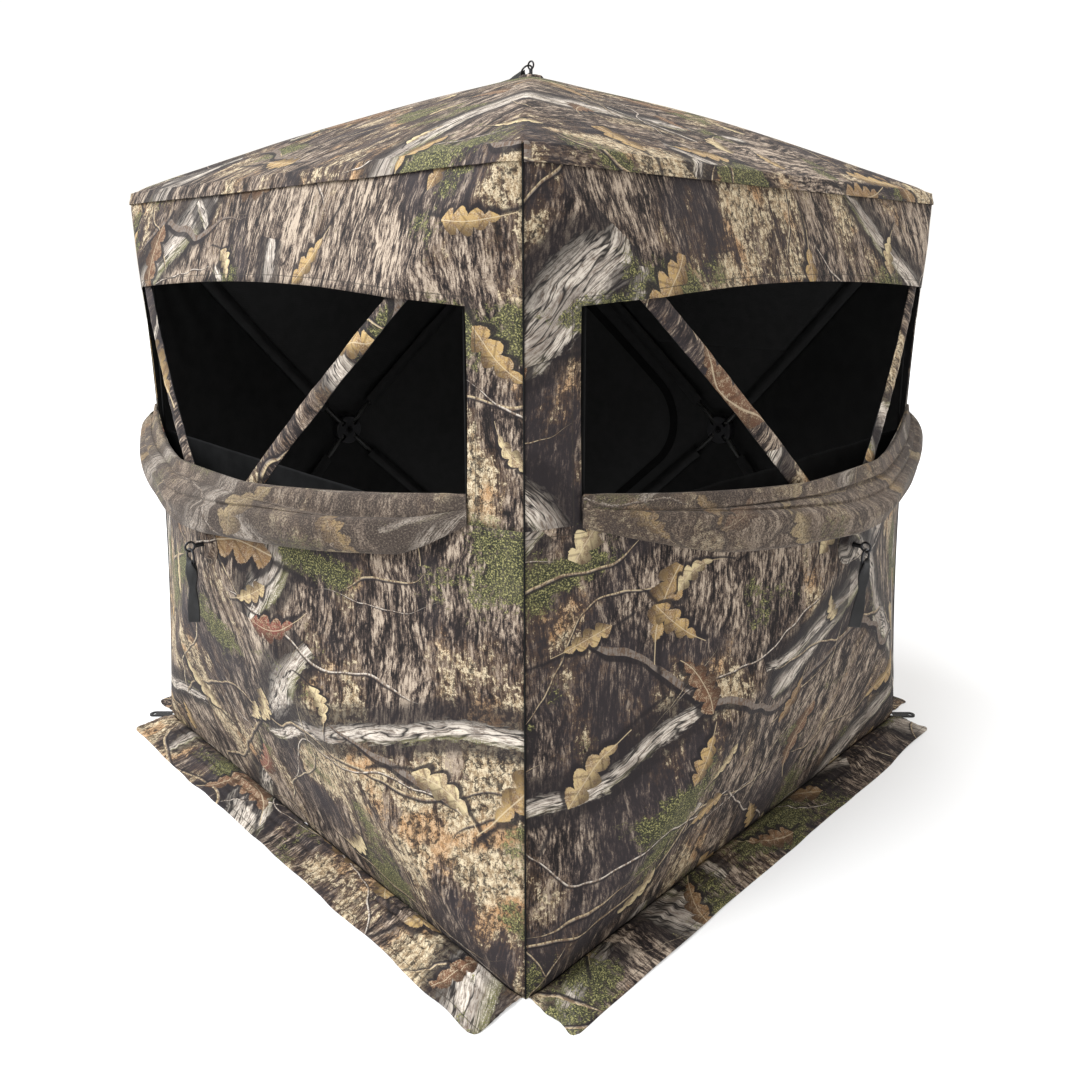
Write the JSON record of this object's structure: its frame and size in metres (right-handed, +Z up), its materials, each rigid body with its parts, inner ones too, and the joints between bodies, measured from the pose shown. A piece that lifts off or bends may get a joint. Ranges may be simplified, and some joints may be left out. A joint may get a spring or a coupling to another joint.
{
  "type": "pop up ground blind",
  "caption": "Square pop up ground blind: fabric walls and roof held out by hubs and flexible poles, with wide windows and a zipped door.",
  "frame": {"origin": "bottom centre of the footprint, on the ground", "axes": "+Z up; the front wall faces -Y and the right wall faces +X"},
  "size_m": [1.9383, 1.9383, 1.7797],
  "materials": {
    "camouflage_fabric": null,
    "camouflage_mesh": "fine shoot-through mesh with a soft print",
    "black_cover_fabric": "black coated woven fabric",
    "black_tape": "black zip tape and cord",
    "black_webbing": "ribbed black webbing",
    "black_moulding": "black glass-filled moulding",
    "black_steel": "black coated steel",
    "fibreglass_pole": "black fibreglass rod in black ferrules"
  },
  "bodies": {
    "shell": {"roof_panel": "camouflage_fabric", "eave_binding": "camouflage_fabric", "front_wall_upper": "camouflage_fabric", "front_wall_lower": "camouflage_fabric", "right_wall_upper": "camouflage_fabric", "right_wall_lower": "camouflage_fabric", "back_wall": "camouflage_fabric", "left_wall": "camouflage_fabric", "pole_sleeves": "camouflage_fabric", "front_mesh": "camouflage_mesh", "right_mesh": "camouflage_mesh", "ground_skirts": "camouflage_fabric", "corner_joints": "black_moulding", "window_tracks": "black_tape", "back_window_cover": "black_cover_fabric", "stake_loops": "black_webbing"},
    "front_hub": {"front_hub": "black_moulding", "front_hub_hardware": "black_steel"},
    "front_pole_1": {"front_pole_1": "fibreglass_pole"},
    "front_pole_2": {"front_pole_2": "fibreglass_pole"},
    "front_pole_3": {"front_pole_3": "fibreglass_pole"},
    "front_pole_4": {"front_pole_4": "fibreglass_pole"},
    "front_ring": {"front_ring": "black_steel"},
    "front_strap": {"front_strap": "black_webbing"},
    "right_hub": {"right_hub": "black_moulding", "right_hub_hardware": "black_steel"},
    "right_pole_1": {"right_pole_1": "fibreglass_pole"},
    "right_pole_2": {"right_pole_2": "fibreglass_pole"},
    "right_pole_3": {"right_pole_3": "fibreglass_pole"},
    "right_pole_4": {"right_pole_4": "fibreglass_pole"},
    "right_ring": {"right_ring": "black_steel"},
    "right_strap": {"right_strap": "black_webbing"},
    "back_hub": {"back_hub": "black_moulding", "back_hub_hardware": "black_steel"},
    "back_pole_1": {"back_pole_1": "fibreglass_pole"},
    "back_pole_2": {"back_pole_2": "fibreglass_pole"},
    "back_pole_3": {"back_pole_3": "fibreglass_pole"},
    "back_pole_4": {"back_pole_4": "fibreglass_pole"},
    "back_ring": {"back_ring": "black_steel"},
    "back_strap": {"back_strap": "black_webbing"},
    "left_hub": {"left_hub": "black_moulding", "left_hub_hardware": "black_steel"},
    "left_pole_1": {"left_pole_1": "fibreglass_pole"},
    "left_pole_2": {"left_pole_2": "fibreglass_pole"},
    "left_pole_3": {"left_pole_3": "fibreglass_pole"},
    "left_pole_4": {"left_pole_4": "fibreglass_pole"},
    "left_ring": {"left_ring": "black_steel"},
    "left_strap": {"left_strap": "black_webbing"},
    "roof_hub": {"roof_hub": "black_moulding", "roof_hub_hardware": "black_steel"},
    "roof_pole_1": {"roof_pole_1": "fibreglass_pole"},
    "roof_pole_2": {"roof_pole_2": "fibreglass_pole"},
    "roof_pole_3": {"roof_pole_3": "fibreglass_pole"},
    "roof_pole_4": {"roof_pole_4": "fibreglass_pole"},
    "roof_ring": {"roof_ring": "black_steel"},
    "roof_strap": {"roof_strap": "black_webbing"},
    "front_cover": {"front_cover": "black_cover_fabric"},
    "right_cover": {"right_cover": "black_cover_fabric"},
    "door_zip": {"door_zip": "black_tape"},
    "door_panel": {"door_panel": "camouflage_fabric"}
  },
  "joints": [
    {"name": "front_hub_push", "type": "slide", "parent": "shell", "child": "front_hub", "axis": [0, -1, 0], "range_m": [-0.37, 0], "deforming": ["front_pole_1", "front_pole_2", "front_pole_3", "front_pole_4", "front_wall_upper", "front_wall_lower", "front_mesh", "front_cover", "window_tracks", "pole_sleeves"]},
    {"name": "front_pole_1_fold", "type": "hinge", "parent": "front_hub", "child": "front_pole_1", "pos_m": [0.02261, -0.9027, 0.74264], "axis": [0.7076, 0, -0.7066], "range_deg": [0, 21.71]},
    {"name": "front_pole_2_fold", "type": "hinge", "parent": "front_hub", "child": "front_pole_2", "pos_m": [-0.02261, -0.9027, 0.74264], "axis": [0.7076, 0, 0.7066], "range_deg": [0, 21.71]},
    {"name": "front_pole_3_fold", "type": "hinge", "parent": "front_hub", "child": "front_pole_3", "pos_m": [-0.02284, -0.9027, 0.69759], "axis": [-0.7003, 0, 0.7139], "range_deg": [0, 21.95]},
    {"name": "front_pole_4_fold", "type": "hinge", "parent": "front_hub", "child": "front_pole_4", "pos_m": [0.02284, -0.9027, 0.69759], "axis": [-0.7003, 0, -0.7139], "range_deg": [0, 21.95]},
    {"name": "front_ring_swing", "type": "hinge", "parent": "front_hub", "child": "front_ring", "pos_m": [0, -0.957, 0.7155], "axis": [1, 0, 0], "range_deg": [-120, 10]},
    {"name": "front_strap_swing", "type": "hinge", "parent": "front_ring", "child": "front_strap", "pos_m": [0, -0.957, 0.6855], "axis": [1, 0, 0], "range_deg": [-60, 10]},
    {"name": "right_hub_push", "type": "slide", "parent": "shell", "child": "right_hub", "axis": [1, 0, 0], "range_m": [-0.37, 0], "deforming": ["right_pole_1", "right_pole_2", "right_pole_3", "right_pole_4", "right_wall_upper", "right_wall_lower", "right_mesh", "right_cover", "window_tracks", "pole_sleeves"]},
    {"name": "right_pole_1_fold", "type": "hinge", "parent": "right_hub", "child": "right_pole_1", "pos_m": [0.9027, 0.02261, 0.74264], "axis": [0, 0.7076, -0.7066], "range_deg": [0, 21.71]},
    {"name": "right_pole_2_fold", "type": "hinge", "parent": "right_hub", "child": "right_pole_2", "pos_m": [0.9027, -0.02261, 0.74264], "axis": [0, 0.7076, 0.7066], "range_deg": [0, 21.71]},
    {"name": "right_pole_3_fold", "type": "hinge", "parent": "right_hub", "child": "right_pole_3", "pos_m": [0.9027, -0.02284, 0.69759], "axis": [0, -0.7003, 0.7139], "range_deg": [0, 21.95]},
    {"name": "right_pole_4_fold", "type": "hinge", "parent": "right_hub", "child": "right_pole_4", "pos_m": [0.9027, 0.02284, 0.69759], "axis": [0, -0.7003, -0.7139], "range_deg": [0, 21.95]},
    {"name": "right_ring_swing", "type": "hinge", "parent": "right_hub", "child": "right_ring", "pos_m": [0.957, 0, 0.7155], "axis": [0, 1, 0], "range_deg": [-120, 10]},
    {"name": "right_strap_swing", "type": "hinge", "parent": "right_ring", "child": "right_strap", "pos_m": [0.957, 0, 0.6855], "axis": [0, 1, 0], "range_deg": [-60, 10]},
    {"name": "back_hub_push", "type": "slide", "parent": "shell", "child": "back_hub", "axis": [0, 1, 0], "range_m": [-0.37, 0], "deforming": ["back_pole_1", "back_pole_2", "back_pole_3", "back_pole_4", "back_wall", "back_window_cover", "door_panel", "door_zip", "pole_sleeves"]},
    {"name": "back_pole_1_fold", "type": "hinge", "parent": "back_hub", "child": "back_pole_1", "pos_m": [-0.02261, 0.9027, 0.74264], "axis": [-0.7076, 0, -0.7066], "range_deg": [0, 21.71]},
    {"name": "back_pole_2_fold", "type": "hinge", "parent": "back_hub", "child": "back_pole_2", "pos_m": [0.02261, 0.9027, 0.74264], "axis": [-0.7076, 0, 0.7066], "range_deg": [0, 21.71]},
    {"name": "back_pole_3_fold", "type": "hinge", "parent": "back_hub", "child": "back_pole_3", "pos_m": [0.02284, 0.9027, 0.69759], "axis": [0.7003, 0, 0.7139], "range_deg": [0, 21.95]},
    {"name": "back_pole_4_fold", "type": "hinge", "parent": "back_hub", "child": "back_pole_4", "pos_m": [-0.02284, 0.9027, 0.69759], "axis": [0.7003, 0, -0.7139], "range_deg": [0, 21.95]},
    {"name": "back_ring_swing", "type": "hinge", "parent": "back_hub", "child": "back_ring", "pos_m": [0, 0.957, 0.7155], "axis": [-1, 0, 0], "range_deg": [-120, 10]},
    {"name": "back_strap_swing", "type": "hinge", "parent": "back_ring", "child": "back_strap", "pos_m": [0, 0.957, 0.6855], "axis": [-1, 0, 0], "range_deg": [-60, 10]},
    {"name": "left_hub_push", "type": "slide", "parent": "shell", "child": "left_hub", "axis": [-1, 0, 0], "range_m": [-0.37, 0], "deforming": ["left_pole_1", "left_pole_2", "left_pole_3", "left_pole_4", "left_wall", "pole_sleeves"]},
    {"name": "left_pole_1_fold", "type": "hinge", "parent": "left_hub", "child": "left_pole_1", "pos_m": [-0.9027, -0.02261, 0.74264], "axis": [0, -0.7076, -0.7066], "range_deg": [0, 21.71]},
    {"name": "left_pole_2_fold", "type": "hinge", "parent": "left_hub", "child": "left_pole_2", "pos_m": [-0.9027, 0.02261, 0.74264], "axis": [0, -0.7076, 0.7066], "range_deg": [0, 21.71]},
    {"name": "left_pole_3_fold", "type": "hinge", "parent": "left_hub", "child": "left_pole_3", "pos_m": [-0.9027, 0.02284, 0.69759], "axis": [0, 0.7003, 0.7139], "range_deg": [0, 21.95]},
    {"name": "left_pole_4_fold", "type": "hinge", "parent": "left_hub", "child": "left_pole_4", "pos_m": [-0.9027, -0.02284, 0.69759], "axis": [0, 0.7003, -0.7139], "range_deg": [0, 21.95]},
    {"name": "left_ring_swing", "type": "hinge", "parent": "left_hub", "child": "left_ring", "pos_m": [-0.957, 0, 0.7155], "axis": [0, -1, 0], "range_deg": [-120, 10]},
    {"name": "left_strap_swing", "type": "hinge", "parent": "left_ring", "child": "left_strap", "pos_m": [-0.957, 0, 0.6855], "axis": [0, -1, 0], "range_deg": [-60, 10]},
    {"name": "roof_hub_push", "type": "slide", "parent": "shell", "child": "roof_hub", "axis": [0, 0, 1], "range_m": [-0.55, 0], "deforming": ["roof_pole_1", "roof_pole_2", "roof_pole_3", "roof_pole_4", "roof_panel", "pole_sleeves"]},
    {"name": "roof_pole_1_fold", "type": "hinge", "parent": "roof_hub", "child": "roof_pole_1", "pos_m": [0.02263, 0.02263, 1.7137], "axis": [0.7071, -0.7071, 0], "range_deg": [0, 31.82]},
    {"name": "roof_pole_2_fold", "type": "hinge", "parent": "roof_hub", "child": "roof_pole_2", "pos_m": [-0.02263, 0.02263, 1.7137], "axis": [0.7071, 0.7071, 0], "range_deg": [0, 31.82]},
    {"name": "roof_pole_3_fold", "type": "hinge", "parent": "roof_hub", "child": "roof_pole_3", "pos_m": [-0.02263, -0.02263, 1.7137], "axis": [-0.7071, 0.7071, 0], "range_deg": [0, 31.82]},
    {"name": "roof_pole_4_fold", "type": "hinge", "parent": "roof_hub", "child": "roof_pole_4", "pos_m": [0.02263, -0.02263, 1.7137], "axis": [-0.7071, -0.7071, 0], "range_deg": [0, 31.82]},
    {"name": "roof_ring_swing", "type": "hinge", "parent": "roof_hub", "child": "roof_ring", "pos_m": [-0.0045, 0, 1.768], "axis": [0, -1, 0], "range_deg": [-150, 4]},
    {"name": "roof_strap_swing", "type": "hinge", "parent": "roof_ring", "child": "roof_strap", "pos_m": [-0.02571, 0, 1.74679], "axis": [0, -1, 0], "range_deg": [-60, 5]},
    {"name": "front_cover_slide", "type": "slide", "parent": "shell", "child": "front_cover", "axis": [0, 0, 1], "range_m": [0, 0.39]},
    {"name": "right_cover_slide", "type": "slide", "parent": "shell", "child": "right_cover", "axis": [0, 0, 1], "range_m": [0, 0.39]},
    {"name": "door_fold", "type": "hinge", "parent": "shell", "child": "door_zip", "pos_m": [-0.712, 0.712, 0.72], "axis": [0, 0, 1], "range_deg": [-30.32, 0]},
    {"name": "door_swing", "type": "hinge", "parent": "door_zip", "child": "door_panel", "pos_m": [-0.666, 0.741, 0.72], "axis": [0, 0, 1], "range_deg": [0, 110], "deforming": ["door_panel"]}
  ],
  "couplings": [
    {"joint": "front_pole_1_fold", "follows": "front_hub_push", "rad_per_m": -1.0219},
    {"joint": "front_pole_2_fold", "follows": "front_hub_push", "rad_per_m": -1.0219},
    {"joint": "front_pole_3_fold", "follows": "front_hub_push", "rad_per_m": -1.033},
    {"joint": "front_pole_4_fold", "follows": "front_hub_push", "rad_per_m": -1.033},
    {"joint": "right_pole_1_fold", "follows": "right_hub_push", "rad_per_m": -1.0219},
    {"joint": "right_pole_2_fold", "follows": "right_hub_push", "rad_per_m": -1.0219},
    {"joint": "right_pole_3_fold", "follows": "right_hub_push", "rad_per_m": -1.033},
    {"joint": "right_pole_4_fold", "follows": "right_hub_push", "rad_per_m": -1.033},
    {"joint": "back_pole_1_fold", "follows": "back_hub_push", "rad_per_m": -1.0219},
    {"joint": "back_pole_2_fold", "follows": "back_hub_push", "rad_per_m": -1.0219},
    {"joint": "back_pole_3_fold", "follows": "back_hub_push", "rad_per_m": -1.033},
    {"joint": "back_pole_4_fold", "follows": "back_hub_push", "rad_per_m": -1.033},
    {"joint": "left_pole_1_fold", "follows": "left_hub_push", "rad_per_m": -1.0219},
    {"joint": "left_pole_2_fold", "follows": "left_hub_push", "rad_per_m": -1.0219},
    {"joint": "left_pole_3_fold", "follows": "left_hub_push", "rad_per_m": -1.033},
    {"joint": "left_pole_4_fold", "follows": "left_hub_push", "rad_per_m": -1.033},
    {"joint": "roof_pole_1_fold", "follows": "roof_hub_push", "rad_per_m": -1.0083},
    {"joint": "roof_pole_2_fold", "follows": "roof_hub_push", "rad_per_m": -1.0083},
    {"joint": "roof_pole_3_fold", "follows": "roof_hub_push", "rad_per_m": -1.0083},
    {"joint": "roof_pole_4_fold", "follows": "roof_hub_push", "rad_per_m": -1.0083},
    {"joint": "door_fold", "follows": "back_hub_push", "rad_per_m": 1.4278}
  ]
}
